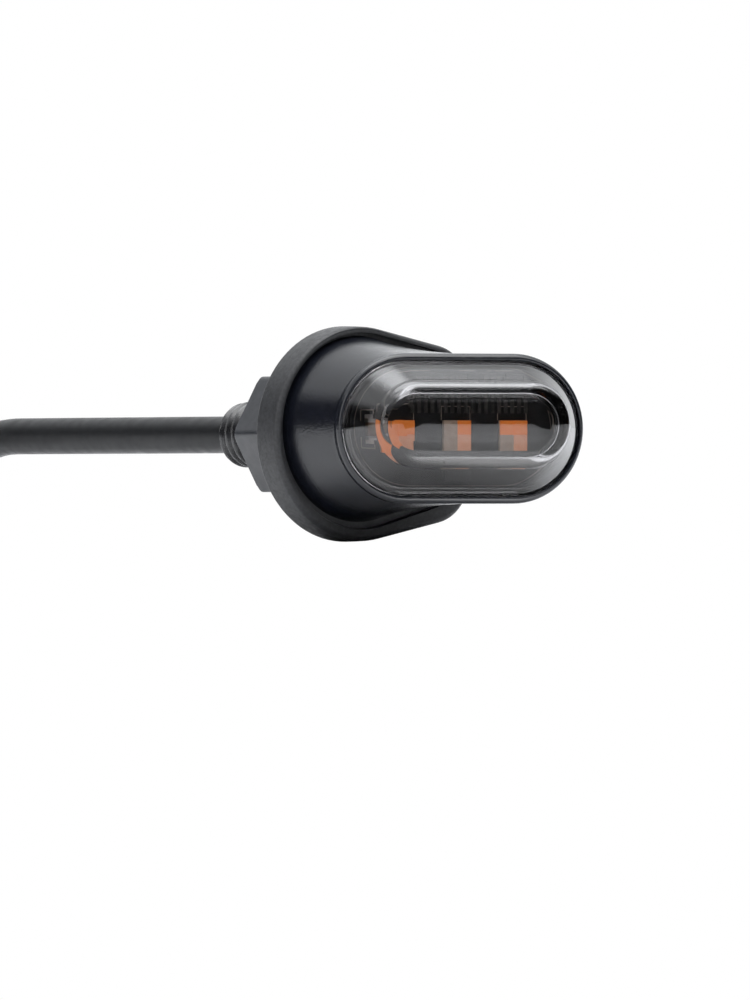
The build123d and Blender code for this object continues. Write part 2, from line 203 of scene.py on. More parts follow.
# Which quarters of each LED's face are deep amber, and which carry a painted reflection as lighter salmon
# and pale copies of the amber: (LED, side, height).
AMBER_QUARTERS = [(-1, -1, 1), (-1, 1, 1), (-1, -1, -1), (0, 1, 1), (1, -1, 1), (1, 1, 1)]
SALMON_REFLECTION_QUARTERS = [(-1, 1, -1), (0, 1, -1), (1, 1, -1)]
PALE_REFLECTION_QUARTERS = [(0, -1, 1), (0, -1, -1), (1, -1, -1)]

# The camera looks from in front and to the left of the lens, level and from far away.
CAMERA_AZIMUTH = math.radians(-36.5)
CAMERA_ELEVATION = math.radians(0.0)
CAMERA_DISTANCE = 1.5
FRAME_HEIGHT = 0.1205
SENSOR = 36.0
TARGET_RIGHT = 3.86 * MM
TARGET_UP = -7.95 * MM
CAMERA_SIDE = Vector((math.sin(CAMERA_AZIMUTH), -math.cos(CAMERA_AZIMUTH), 0.0))

# The room that the surfaces reflect. Edges are cosines, from where the light starts to where it is full.
CEILING_EDGE = (0.42, 0.60)
CEILING_LIGHT = 1.45
ZENITH_EDGE = (0.86, 0.95)
ZENITH_LIGHT = 5.0
BACKDROP_LIGHT = 1.5
FLOOR_GLOW = 3.0
FLOOR_GLOW_CENTRE = (0.007, -0.035, -0.013)
FLOOR_GLOW_REACH = (0.007, 0.017)
BACKDROP_EDGE = (0.50, 0.80)
ROOM_LIGHT = 0.02

# The cable's route, with the same points as the CAD tube, and its coil, in metres.
CABLE_DIAMETER = 4.5 * MM
LAID_HEIGHT = -10.1 * MM
COIL_RADIUS = 22.5 * MM
COIL_START = (14.0 * MM, 122.5 * MM)
CABLE_ROUTE = [
    (0.0, STUD_END * MM, 0.0),
    (0.0, 58.0 * MM, 0.0),
    (0.0, 78.0 * MM, 0.0),
    (14.0 * MM, 106.0 * MM, LAID_HEIGHT),
    (*COIL_START, LAID_HEIGHT),
]
FLOOR_HEIGHT = -13.0 * MM
TOP_LAYER_TURN = 246.0 / 360.0
CLIMB_START = 0.80
CLIMB_LENGTH = 0.12


# ---------------------------------------------------------------- camera, light and floor
def make_camera():
    right = Vector((math.cos(CAMERA_AZIMUTH), math.sin(CAMERA_AZIMUTH), 0.0))
    back = CAMERA_SIDE * math.cos(CAMERA_ELEVATION) + Vector((0, 0, math.sin(CAMERA_ELEVATION)))
    data = bpy.data.cameras.new("camera")
    data.sensor_fit = "VERTICAL"
    data.sensor_height = SENSOR
    data.lens = SENSOR * CAMERA_DISTANCE / FRAME_HEIGHT
    data.clip_end = 50.0
    camera = bpy.data.objects.new("camera", data)
    bpy.context.scene.collection.objects.link(camera)
    camera.location = right * TARGET_RIGHT + Vector((0, 0, TARGET_UP)) + back * CAMERA_DISTANCE
    camera.rotation_euler = (math.pi / 2 - CAMERA_ELEVATION, 0.0, CAMERA_AZIMUTH)
    bpy.context.scene.camera = camera


def area_light(name, place, aim, size, radiance):
    light = bpy.data.lights.new(name, "AREA")
    light.shape = "RECTANGLE"
    light.size, light.size_y = size
    light.energy = radiance * math.pi * size[0] * size[1]
    lamp = bpy.data.objects.new(name, light)
    bpy.context.scene.collection.objects.link(lamp)
    lamp.location = place
    lamp.rotation_euler = (Vector(aim) - Vector(place)).to_track_quat("-Z", "Y").to_euler()


def ramped(tree, value, low, high):
    """A value that climbs smoothly from 0 to 1 between two limits."""
    ramp = tree.nodes.new("ShaderNodeMapRange")
    ramp.interpolation_type = "SMOOTHSTEP"
    ramp.inputs["From Min"].default_value = low
    ramp.inputs["From Max"].default_value = high
    tree.links.new(value, ramp.inputs["Value"])
    return ramp.outputs["Result"]


def combined(tree, operation, first, second):
    node = tree.nodes.new("ShaderNodeMath")
    node.operation = operation
    for socket, value in zip(node.inputs, (first, second)):
        if isinstance(value, float):
            socket.default_value = value
        else:
            tree.links.new(value, socket)
    return node.outputs["Value"]


def make_world():
    """A bright ceiling and backdrop with a dark room between. To the camera, all of it is plain white."""
    world = bpy.data.worlds.new("studio")
    bpy.context.scene.world = world
    world.use_nodes = True
    tree = world.node_tree
    tree.nodes.clear()
    where = tree.nodes.new("ShaderNodeTexCoord").outputs["Generated"]
    facing = tree.nodes.new("ShaderNodeVectorMath")
    facing.operation = "DOT_PRODUCT"
    facing.inputs[1].default_value = -CAMERA_SIDE
    tree.links.new(where, facing.inputs[0])
    axes = tree.nodes.new("ShaderNodeSeparateXYZ")
    tree.links.new(where, axes.inputs["Vector"])
    height = axes.outputs["Z"]
    ceiling = combined(tree, "MULTIPLY", ramped(tree, height, *CEILING_EDGE), CEILING_LIGHT)
    zenith = combined(tree, "MULTIPLY", ramped(tree, height, *ZENITH_EDGE), ZENITH_LIGHT)
    ceiling = combined(tree, "ADD", ceiling, zenith)
    behind = ramped(tree, facing.outputs["Value"], *BACKDROP_EDGE)
    backdrop = combined(tree, "MULTIPLY", behind, BACKDROP_LIGHT)
    light = combined(tree, "MAXIMUM", ceiling, backdrop)
    light = combined(tree, "ADD", light, ROOM_LIGHT)
    lit = tree.nodes.new("ShaderNodeBackground")
    lit.inputs["Color"].default_value = (0.96, 0.98, 1.0, 1)
    tree.links.new(light, lit.inputs["Strength"])
    seen = tree.nodes.new("ShaderNodeBackground")
    seen.inputs["Color"].default_value = (1, 1, 1, 1)
    out = tree.nodes.new("ShaderNodeOutputWorld")
    surface = seen_or_lit(tree, seen.outputs["Background"], lit.outputs["Background"])
    tree.links.new(surface, out.inputs["Surface"])


def seen_or_lit(tree, seen, lit):
    """One shader for what the camera sees directly and another for every other ray."""
    path = tree.nodes.new("ShaderNodeLightPath")
    mix = tree.nodes.new("ShaderNodeMixShader")
    tree.links.new(path.outputs["Is Camera Ray"], mix.inputs["Fac"])
    tree.links.new(lit, mix.inputs[1])
    tree.links.new(seen, mix.inputs[2])
    return mix.outputs["Shader"]


def floor_material():
    """White paper that runs into the white backdrop, with a brighter pool in front of the lens."""
    material = bpy.data.materials.new("floor_white")
    material.use_nodes = True
    tree = material.node_tree
    tree.nodes.clear()
    paper = tree.nodes.new("ShaderNodeBsdfDiffuse")
    paper.inputs["Color"].default_value = (0.80, 0.80, 0.81, 1)
    where = tree.nodes.new("ShaderNodeNewGeometry").outputs["Position"]
    away = tree.nodes.new("ShaderNodeVectorMath")
    away.operation = "DISTANCE"
    away.inputs[1].default_value = FLOOR_GLOW_CENTRE
    tree.links.new(where, away.inputs[0])
    far = ramped(tree, away.outputs["Value"], *FLOOR_GLOW_REACH)
    near = combined(tree, "SUBTRACT", 1.0, far)
    pool = combined(tree, "MULTIPLY", near, FLOOR_GLOW)
    card = tree.nodes.new("ShaderNodeEmission")
    tree.links.new(pool, card.inputs["Strength"])
    bright_paper = tree.nodes.new("ShaderNodeAddShader")
    tree.links.new(paper.outputs["BSDF"], bright_paper.inputs[0])
    tree.links.new(card.outputs["Emission"], bright_paper.inputs[1])
    glow = tree.nodes.new("ShaderNodeEmission")
    glow.inputs["Color"].default_value = (1, 1, 1, 1)
    out = tree.nodes.new("ShaderNodeOutputMaterial")
    surface = seen_or_lit(tree, glow.outputs["Emission"], bright_paper.outputs["Shader"])
    tree.links.new(surface, out.inputs["Surface"])
    return material


def around(degrees, height, distance):
    """A place to one side of the camera: positive is to its right, as the picture shows it."""
    flat = Matrix.Rotation(math.radians(degrees), 4, "Z") @ CAMERA_SIDE
    return flat * distance + Vector((0, 0, height))


def make_studio():
    bpy.context.scene.view_settings.view_transform = "Standard"
    make_world()
    bpy.ops.mesh.primitive_plane_add(size=6.0, location=(0, 0, FLOOR_HEIGHT))
    floor = bpy.context.object
    floor.name = "floor"
    floor.data.materials.append(floor_material())
    area_light("front_left", around(-40, 0.28, 0.9), (0, 0, 0), (0.45, 0.6), 2.4)
    area_light("right_top", around(52, 0.65, 0.52), (0, 0, 0), (0.6, 0.5), 3.6)


# ---------------------------------------------------------------- materials
def shader_tree(name):
    material = bpy.data.materials.new(name)
    material.use_nodes = True
    tree = material.node_tree
    return material, tree, tree.nodes["Principled BSDF"]


def plain(name, color, roughness):
    material, _, shader = shader_tree(name)
    shader.inputs["Base Color"].default_value = (*color, 1)
    shader.inputs["Roughness"].default_value = roughness
    return material


def noise_field(tree, scale, detail=2.0):
    """A noise value in the object's own coordinates, where a unit of scale is one feature a metre."""
    where = tree.nodes.new("ShaderNodeTexCoord")
    noise = tree.nodes.new("ShaderNodeTexNoise")
    noise.inputs["Scale"].default_value = scale
    noise.inputs["Detail"].default_value = detail
    tree.links.new(where.outputs["Object"], noise.inputs["Vector"])
    return noise


def add_bump(tree, shader, layers):
    """Stacks bump layers, each a (feature scale, depth in metres, detail)."""
    before = None
    for scale, depth, detail in layers:
        noise = noise_field(tree, scale, detail)
        bump = tree.nodes.new("ShaderNodeBump")
        bump.inputs["Strength"].default_value = 1.0
        bump.inputs["Distance"].default_value = depth
        tree.links.new(noise.outputs["Fac"], bump.inputs["Height"])
        if before:
            tree.links.new(before.outputs["Normal"], bump.inputs["Normal"])
        before = bump
    tree.links.new(before.outputs["Normal"], shader.inputs["Normal"])


def vary(tree, shader, socket, scale, low, high, detail=3.0):
    """Lets a noise move a socket between two values or colours."""
    noise = noise_field(tree, scale, detail)
    ramp = tree.nodes.new("ShaderNodeValToRGB")
    as_color = [(*v, 1) if isinstance(v, tuple) else (v, v, v, 1) for v in (low, high)]
    ramp.color_ramp.elements[0].position, ramp.color_ramp.elements[0].color = 0.35, as_color[0]
    ramp.color_ramp.elements[1].position, ramp.color_ramp.elements[1].color = 0.65, as_color[1]
    tree.links.new(noise.outputs["Fac"], ramp.inputs["Fac"])
    tree.links.new(ramp.outputs["Color"], shader.inputs[socket])


def textured(name, colors, roughness, layers=(), metallic=0.0, specular=0.5, scale=900.0):
    """A material whose colour and roughness wander a little and whose surface has a fine relief."""
    material, tree, shader = shader_tree(name)
    vary(tree, shader, "Base Color", scale, *colors)
    vary(tree, shader, "Roughness", scale * 0.7, *roughness)
    shader.inputs["Metallic"].default_value = metallic
    shader.inputs["Specular IOR Level"].default_value = specular
    if layers:
        add_bump(tree, shader, layers)
    return material


def smoked_plastic():
    material, _, shader = shader_tree("smoked_plastic")
    shader.inputs["Base Color"].default_value = (0.38, 0.375, 0.385, 1)
    shader.inputs["Transmission Weight"].default_value = 1.0
    shader.inputs["IOR"].default_value = 1.5
    shader.inputs["Roughness"].default_value = 0.01
    return material


def make_materials():
    return {
        "paint": textured(
            "black_paint",
            ((0.0032, 0.0038, 0.0062), (0.0048, 0.0056, 0.009)),
            (0.20, 0.26),
            [(3600.0, 0.000024, 2.0)],
        ),
        "rubber": textured(
            "gasket_rubber",
            ((0.009, 0.0093, 0.0105), (0.018, 0.0185, 0.021)),
            (0.44, 0.56),
            [(5200.0, 0.000016, 3.0)],
            specular=0.4,
            scale=2600.0,
        ),
        "oxide": textured(
            "black_oxide",
            ((0.006, 0.006, 0.007), (0.014, 0.014, 0.016)),
            (0.20, 0.30),
            specular=0.7,
        ),
        "nut": textured(
            "satin_black",
            ((0.010, 0.011, 0.014), (0.015, 0.016, 0.020)),
            (0.34, 0.44),
            [(3000.0, 0.000006, 2.0)],
            specular=0.5,
        ),
        "zinc": textured(
            "zinc_plate",
            ((0.50, 0.50, 0.51), (0.60, 0.60, 0.61)),
            (0.28, 0.40),
            [(1500.0, 0.000008, 2.0)],
            metallic=1.0,
        ),
        "jacket": textured(
            "cable_jacket",
            ((0.004, 0.0042, 0.005), (0.006, 0.0063, 0.0072)),
            (0.40, 0.48),
            [(300.0, 0.00002, 1.0)],
            specular=0.2,
        ),
        "board": textured(
            "solder_mask",
            ((0.010, 0.010, 0.010), (0.018, 0.017, 0.016)),
            (0.5, 0.6),
        ),
        "print": plain("board_print", (0.42, 0.36, 0.29), 0.7),
        "tin": textured(
            "tinned_pad",
            ((0.60, 0.55, 0.50), (0.75, 0.70, 0.64)),
            (0.3, 0.45),
            metallic=1.0,
        ),
        "part": textured("small_part", ((0.05, 0.047, 0.04), (0.12, 0.11, 0.095)), (0.5, 0.6)),
        "amber": painted_glow_led_face("amber_window_painted_glow", (0.90, 0.22, 0.03), (0.96, 0.30, 0.06), (1.0, 0.27, 0.04), 0.6),
        # salmon and pale: lighter copies of the amber window, a painted reflection of light from below in
        # the lens
        "salmon": painted_glow_led_face("salmon_window_painted_reflection", (0.88, 0.38, 0.20), (0.94, 0.46, 0.26), (1.0, 0.42, 0.2), 0.4),
        "pale": painted_glow_led_face("pale_window_painted_reflection", (0.50, 0.38, 0.28), (0.60, 0.47, 0.36), (0.7, 0.5, 0.35), 0.2),
        "led": textured("led_package", ((0.72, 0.55, 0.40), (0.80, 0.62, 0.46)), (0.4, 0.5)),
        "ceramic": textured("capacitor_body", ((0.26, 0.15, 0.09), (0.34, 0.20, 0.12)), (0.4, 0.5)),
        "chip": textured("chip_black", ((0.012, 0.012, 0.012), (0.02, 0.02, 0.02)), (0.4, 0.5)),
        "seal": textured("sealant", ((0.008, 0.008, 0.008), (0.016, 0.016, 0.016)), (0.3, 0.4)),
        "resin": textured("potting_resin", ((0.008, 0.008, 0.008), (0.014, 0.014, 0.014)), (0.15, 0.2)),
        "nylon": textured("tie_nylon", ((0.012, 0.012, 0.013), (0.02, 0.02, 0.021)), (0.36, 0.46)),
        "plug": textured(
            "plug_plastic",
            ((0.016, 0.016, 0.017), (0.024, 0.024, 0.026)),
            (0.36, 0.46),
            [(2600.0, 0.00001, 2.0)],
        ),
        "brass": textured(
            "tinned_brass",
            ((0.62, 0.52, 0.34), (0.74, 0.64, 0.44)),
            (0.22, 0.3),
            metallic=1.0,
        ),
        "red": textured("red_insulation", ((0.38, 0.02, 0.015), (0.46, 0.03, 0.02)), (0.35, 0.42)),
        "black": textured("black_insulation", ((0.012, 0.012, 0.012), (0.02, 0.02, 0.02)), (0.35, 0.42)),
        "lens": smoked_plastic(),
    }


def painted_glow_led_face(name, low, high, glow, strength):
    """A phosphor window with a painted glow: an emission that makes it look a little brighter than what lies
    round it.
    """
    material, tree, shader = shader_tree(name)
    vary(tree, shader, "Base Color", 1500.0, low, high)
    shader.inputs["Roughness"].default_value = 0.35
    # painted glow: emission that lifts the window's brightness
    shader.inputs["Emission Color"].default_value = (*glow, 1)
    shader.inputs["Emission Strength"].default_value = strength
    return material


# ---------------------------------------------------------------- mesh tools
def nose_point(along, up, out):
    """A point in the lens end's own directions, in metres."""
    return (NOSE_ORIGIN + NOSE_ALONG * along + Vector((0, 0, up)) + NOSE_OUT * out) * MM


def rounded(corners, segments=6):
    """A profile with its corners rounded. Each corner is (a, b, radius)."""
    profile = []
    for index, (a, b, radius) in enumerate(corners):
        here = Vector((a, b))
        if radius <= 0 or index in (0, len(corners) - 1):
            profile.append(here)
            continue
        before = (Vector(corners[index - 1][:2]) - here).normalized()
        after = (Vector(corners[index + 1][:2]) - here).normalized()
        half = before.angle(after) / 2
        reach = radius / math.tan(half)
        centre = here + (before + after).normalized() * (radius / math.sin(half))
        start, end = here + before * reach - centre, here + after * reach - centre
        for step in range(segments + 1):
            mixed = start.lerp(end, step / segments)
            profile.append(centre + mixed.normalized() * radius)
    return profile


def obround_outline(straight, radius):
    """An obround with as many points as an egg, in the same order: left end, top, right end, bottom."""
    points = []
    for step in range(ARC_STEPS):
        angle = -math.pi / 2 - math.pi * step / ARC_STEPS
        points.append((-straight + radius * math.cos(angle), radius * math.sin(angle)))
    for step in range(LINE_STEPS):
        points.append((-straight + 2 * straight * step / LINE_STEPS, radius))
    for step in range(3 * CORNER_STEPS):
        angle = math.pi / 2 - math.pi * step / (3 * CORNER_STEPS)
        points.append((straight + radius * math.cos(angle), radius * math.sin(angle)))
    for step in range(LINE_STEPS):
        points.append((straight - 2 * straight * step / LINE_STEPS, -radius))
    return points


def egg_outline(radius, tip, corner, slope):
    """A round end about the stud's axis, straight flanks that close in, and a blunt tip."""
    corner_x = tip - corner
    corner_y = (radius - corner - corner_x * math.sin(slope)) / math.cos(slope)
    points = []
    for step in range(ARC_STEPS):
        angle = slope - math.pi / 2 - (math.pi + 2 * slope) * step / ARC_STEPS
        points.append((radius * math.cos(angle), radius * math.sin(angle)))
    flank = Vector((radius * math.sin(slope), radius * math.cos(slope)))
    turn = Vector((corner_x + corner * math.sin(slope), corner_y + corner * math.cos(slope)))
    for step in range(LINE_STEPS):
        points.append(tuple(flank.lerp(turn, step / LINE_STEPS)))
    for step in range(CORNER_STEPS):
        angle = (math.pi / 2 - slope) * (1 - step / CORNER_STEPS)
        points.append((corner_x + corner * math.cos(angle), corner_y + corner * math.sin(angle)))
    for step in range(CORNER_STEPS):
        points.append((tip, corner_y - 2 * corner_y * step / CORNER_STEPS))
    for step in range(CORNER_STEPS):
        angle = -(math.pi / 2 - slope) * step / CORNER_STEPS
        points.append((corner_x + corner * math.cos(angle), -corner_y + corner * math.sin(angle)))
    for step in range(LINE_STEPS):
        low = Vector((turn.x, -turn.y)).lerp(Vector((flank.x, -flank.y)), step / LINE_STEPS)
        points.append(tuple(low))
    return points


def nose_ring(straight, radius, out, rise=0.0):
    return [nose_point(u, v + rise, out) for u, v in obround_outline(straight, radius)]


def egg_ring(radius, tip, corner, depth, rise=0.0, slope=FLANK):
    return [Vector((u, -depth, v + rise)) * MM for u, v in egg_outline(radius, tip, corner, slope)]


def circle_ring_like(ring, radius, y):
    """A circle about the stud's axis whose points face those of another ring."""
    points = []
    for point in ring:
        angle = math.atan2(point.z, point.x)
        points.append(Vector((radius * math.cos(angle), y, radius * math.sin(angle))) * MM)
    return points


def circle_ring(radius, y, count):
    turn = 2 * math.pi / count
    return [Vector((radius * math.cos(turn * k), y, radius * math.sin(turn * k))) * MM for k in range(count)]


def piece_from(name, mesh_maker, material, body, replaces=(), sharp=38.0):
    """Finishes a bmesh as a shaded piece that rides on a body."""
    mesh = bpy.data.meshes.new(name)
    bm = bmesh.new()
    mesh_maker(bm)
    bmesh.ops.remove_doubles(bm, verts=bm.verts, dist=1e-7)
    bmesh.ops.recalc_face_normals(bm, faces=bm.faces)
    for face in bm.faces:
        face.smooth = True
    for edge in bm.edges:
        if len(edge.link_faces) == 2:
            edge.smooth = edge.calc_face_angle(0.0) < math.radians(sharp)
    bm.to_mesh(mesh)
    bm.free()
    piece = bpy.data.objects.new(name, mesh)
    bpy.context.scene.collection.objects.link(piece)
    mesh.materials.append(material)
    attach(piece, body)
    if replaces:
        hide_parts(*replaces)
    return piece


def skin(bm, rings, closed=False, caps=(False, False)):
    """Quads between neighbouring rings. A closed skin joins the last ring to the first."""
    rows = [[bm.verts.new(p) for p in ring] for ring in rings]
    pairs = list(zip(rows, rows[1:]))
    if closed:
        pairs.append((rows[-1], rows[0]))
    count = len(rows[0])
    for low, high in pairs:
        for k in range(count):
            bm.faces.new((low[k], low[(k + 1) % count], high[(k + 1) % count], high[k]))
    for cap, row in zip(caps, (rows[0], rows[-1])):
        if cap:
            bm.faces.new(row)


def bevel_all(bm, width):
    bmesh.ops.bevel(
        bm,
        geom=list(bm.edges),
        offset=width,
        segments=2,
        affect="EDGES",
        clamp_overlap=True,
        profile=0.5,
    )


NOSE_TURN = Matrix(
    (
        (NOSE_ALONG.x, 0.0, NOSE_OUT.x, 0.0),
        (NOSE_ALONG.y, 0.0, NOSE_OUT.y, 0.0),
        (0.0, 1.0, 0.0, 0.0),
        (0.0, 0.0, 0.0, 1.0),
    )
)


def add_nose_box(bm, place, size, base):
    """A box standing on a height over the rim's plane. Sizes in millimetres."""
    centre = nose_point(place[0], place[1], base + size[2] / 2)
    scale = Matrix.Diagonal((*(Vector(size) * MM), 1.0))
    bmesh.ops.create_cube(bm, size=1.0, matrix=Matrix.Translation(centre) @ NOSE_TURN @ scale)


# ---------------------------------------------------------------- housing, lens and gasket
def housing_mesh(bm):
    """From the foot's back edge, up the flare, over the rim, down into the pocket and out by the hole."""
    foot_ring = egg_ring(*FOOT, FOOT_DEPTH, HOUSING_RISE)
    collar = nose_ring(NOSE_STRAIGHT, *COLLAR)
    rings = []
    for step in range(FLARE_STEPS):
        share = step / FLARE_STEPS
        rings.append([a.lerp(b, share) for a, b in zip(foot_ring, collar)])
    for radius, out in rounded(RIM_PROFILE, segments=8):
        inward = min((RIM_OUTSIDE - min(radius, RIM_OUTSIDE)) / (RIM_OUTSIDE - RIM_INSIDE), 1.0)
        on_collar = out <= RIM_STEP and radius >= RIM_MIDDLE
        stretch = 0.0 if on_collar else (LENS_STRAIGHT - NOSE_STRAIGHT) * inward
        rings.append(nose_ring(NOSE_STRAIGHT + stretch, radius, out))
    rings.append(nose_ring(BOARD_STRAIGHT, POCKET_RADIUS, POCKET_START))
    rings.append(nose_ring(BOARD_STRAIGHT, POCKET_RADIUS, BOARD_BACK))
    rings.append(nose_ring(BOARD_STRAIGHT, LEDGE_RADIUS, BOARD_BACK))
    inner = egg_ring(*POCKET_FLOOR, FLOOR_DEPTH, HOUSING_RISE)
    rings.append(inner)
    rings.append(circle_ring_like(inner, STUD_RADIUS + SEAT_GAP, -FLOOR_DEPTH))
    rings.append(circle_ring_like(inner, STUD_RADIUS + SEAT_GAP, -FOOT_DEPTH))
    skin(bm, rings, closed=True)


def crown_rise(out):
    """The crown sits a little above the rim's middle, more so towards its top."""
    return CROWN_RISE * min(max((out - CROWN_RISE_START) / CROWN_RISE_REACH, 0.0), 1.0)


def lens_mesh(bm):
    """A sloping skirt with a raised and gently domed crown, one and a half millimetres thick."""
    outside = rounded(LENS_OUTSIDE, segments=8)
    inside = rounded(LENS_INSIDE, segments=5)
    rings = [nose_ring(LENS_STRAIGHT, r, out, crown_rise(out)) for r, out in outside]
    inner = [nose_ring(LENS_STRAIGHT, r, out, crown_rise(out)) for r, out in inside]
    skin(bm, [*reversed(rings)], caps=(True, False))
    skin(bm, inner, caps=(True, False))
    skin(bm, [inner[-1], rings[0]])


def gasket_mesh(bm):
    """Hole, back face, side, rounded lip, groove and seat."""
    rings = []
    for offset, depth in rounded(GASKET_PROFILE, segments=8):
        radii = [size + offset for size in GASKET]
        rings.append(egg_ring(*radii, depth, slope=GASKET_FLANK))
    radius, tip, corner = FOOT
    for gap, depth in GASKET_GROOVE:
        around_foot = (radius + gap, tip + gap + GASKET_TIP_GAP, corner + gap)
        rings.append(egg_ring(*around_foot, depth, HOUSING_RISE))
    last = rings[-1]
    rings.append(circle_ring_like(last, STUD_RADIUS + SEAT_GAP, -FOOT_DEPTH))
    rings.append(circle_ring_like(last, STUD_RADIUS + SEAT_GAP, 0.0))
    skin(bm, rings, closed=True)


# ---------------------------------------------------------------- stud, nut and washers
def thread_drop(phase):
    """How far below the crest a 60 degree thread is, at a phase of its pitch from 0 to 1."""
    distance = abs(phase - 0.5) * 2.0
    down = (distance - THREAD_CREST) / (THREAD_ROOT - THREAD_CREST)
    return THREAD_DEPTH * min(max(down, 0.0), 1.0)


def turned_ring(count, y, radius_at):
    """A ring about the stud's axis whose radius depends on the angle."""
    ring = []
    for k in range(count):
        angle = 2 * math.pi * k / count
        radius = radius_at(angle)
        ring.append(Vector((radius * math.cos(angle), y, radius * math.sin(angle))) * MM)
    return ring


def stud_mesh(bm):
    """A hollow stud whose thread is a true helix, with a chamfered end and a flange inside the lamp."""
    length = STUD_END - THREAD_START
    rows = round(length / THREAD_PITCH * THREAD_ROWS)
    rings = [circle_ring(radius, y, STUD_STEPS) for radius, y in STUD_FLANGE]
    for row in range(rows + 1):
        y = THREAD_START + length * row / rows
        fade = min(max((y - THREAD_START) / THREAD_FADE, 0.0), 1.0)
        limit = STUD_RADIUS - max(0.0, STUD_CHAMFER - (STUD_END - y))

        def cut(angle):
            phase = (y / THREAD_PITCH + angle / (2 * math.pi)) % 1.0
            return min(STUD_RADIUS - thread_drop(phase) * fade, limit)

        rings.append(turned_ring(STUD_STEPS, y, cut))
    rings.append(circle_ring(STUD_BORE + STUD_MOUTH_CHAMFER, STUD_END, STUD_STEPS))
    rings.append(circle_ring(STUD_BORE, STUD_END - STUD_MOUTH_CHAMFER, STUD_STEPS))
    skin(bm, rings, closed=True)


def hex_radius(angle, flats, corner):
    """The radius of a hexagon with a vertex on X and its corners rounded off a little."""
    sector = math.pi / 3
    offset = (angle % sector) - sector / 2
    sharp = flats / 2 / math.cos(offset)
    blunt = flats / 2 / math.cos(sector / 2) - corner
    return min(sharp, blunt + (sharp - blunt) * NUT_CORNER_LEFT) if sharp > blunt else sharp


def nut_mesh(bm):
    """A hexagon with turned corners and a countersunk bore."""
    corner = NUT_FLATS / 2 / math.cos(math.pi / 6)
    bore = STUD_RADIUS + BORE_GAP
    steps = NUT_CHAMFER_STEPS
    depths = [NUT_CHAMFER_DEPTH * (k / steps) ** NUT_CHAMFER_CURVE for k in range(steps + 1)]
    heights = [NUT_START + depth for depth in depths] + [NUT_END - depth for depth in reversed(depths)]
    rings = [
        circle_ring(bore, NUT_START + NUT_MOUTH_DEPTH, NUT_STEPS),
        circle_ring(bore + NUT_MOUTH_WIDTH, NUT_START, NUT_STEPS),
    ]
    for y in heights:
        edge = min(y - NUT_START, NUT_END - y)
        limit = corner - NUT_CORNER_CUT + edge * NUT_CORNER_SLOPE

        def turned(angle):
            return min(hex_radius(angle, NUT_FLATS, NUT_CORNER_ROUND), limit)

        rings.append(turned_ring(NUT_STEPS, y, turned))
    rings.append(circle_ring(bore + NUT_MOUTH_WIDTH, NUT_END, NUT_STEPS))
    rings.append(circle_ring(bore, NUT_END - NUT_MOUTH_DEPTH, NUT_STEPS))
    skin(bm, rings, closed=True)


def washer_mesh(bm):
    profile = rounded(WASHER_PROFILE, segments=4)
    skin(bm, [circle_ring(radius, y, WASHER_STEPS) for radius, y in profile], closed=True)


def spring_washer_mesh(bm):
    """One turn of square section with a slanted slit, its ends sprung a little apart."""
    rings = []
    for k in range(WASHER_STEPS + 1):
        share = k / WASHER_STEPS
        rise = SPRING_LIFT * (share - 0.5) * 2
        ring = []
        for radius, y in SPRING_SECTION:
            slant = SPRING_SLANT * (y - SPRING_MIDDLE) / SPRING_HALF_HEIGHT
            angle = math.pi / 2 + SPRING_GAP / 2 + slant + (2 * math.pi - SPRING_GAP) * share
            ring.append(Vector((radius * math.cos(angle), y + rise, radius * math.sin(angle))) * MM)
        rings.append(ring)
    skin(bm, rings, caps=(True, True))
    bevel_all(bm, SPRING_BEVEL * MM)


# ---------------------------------------------------------------- board and what is on it
def board_mesh(bm):
    profile = [
        (CENTRE_HOLE, BOARD_BACK),
        (BOARD_HALF_HEIGHT, BOARD_BACK),
        (BOARD_HALF_HEIGHT, BOARD_FRONT - BOARD_EDGE_DROP),
        (BOARD_HALF_HEIGHT - BOARD_EDGE_BREAK, BOARD_FRONT),
        (CENTRE_HOLE, BOARD_FRONT),
    ]
    skin(bm, [nose_ring(BOARD_STRAIGHT, r, out) for r, out in profile], caps=(True, True))


def print_bar(bm, x, y, width, height):
    add_nose_box(bm, (x, y), (width, height, PRINT_THICKNESS), BOARD_FRONT)


def board_print_mesh(bm):
    """Printed outlines: one round the edge, a bracket round the capacitor and a frame over each LED."""
    top = BOARD_FRONT + PRINT_THICKNESS
    inner = PRINT_EDGE - PRINT_LINE
    section = ((PRINT_EDGE, BOARD_FRONT), (PRINT_EDGE, top), (inner, top), (inner, BOARD_FRONT))
    skin(bm, [nose_ring(BOARD_STRAIGHT, r, out) for r, out in section], closed=True)
    cap_x, cap_y = CAPACITOR_PLACE
    for side in (-1, 1):
        for x, y, width, height in BRACKET_BARS:
            print_bar(bm, cap_x + x, cap_y + side * y, width, height)
    frame_top = LED_SIDE / 2 - LED_DROP + LED_FRAME_HEIGHT
    for index in (-1, 0, 1):
        centre = index * LED_PITCH
        print_bar(bm, centre, frame_top, LED_FRAME_WIDTH, PRINT_LINE)
        for side in (-1, 1):
            x = centre + side * LED_FRAME_WIDTH / 2
            print_bar(bm, x, frame_top - LED_FRAME_HEIGHT / 2, PRINT_LINE, LED_FRAME_HEIGHT)
    for x, width in LABEL_LINES:
        print_bar(bm, x, LABEL_LINE_HEIGHT, width, PRINT_LINE)


def led_place(index):
    return index * LED_PITCH, -LED_DROP


def led_mesh(index):
    def make(bm):
        add_nose_box(bm, led_place(index), (LED_SIDE, LED_SIDE, LED_BODY_THICKNESS), BOARD_FRONT)
        bevel_all(bm, LED_BEVEL * MM)

    return make


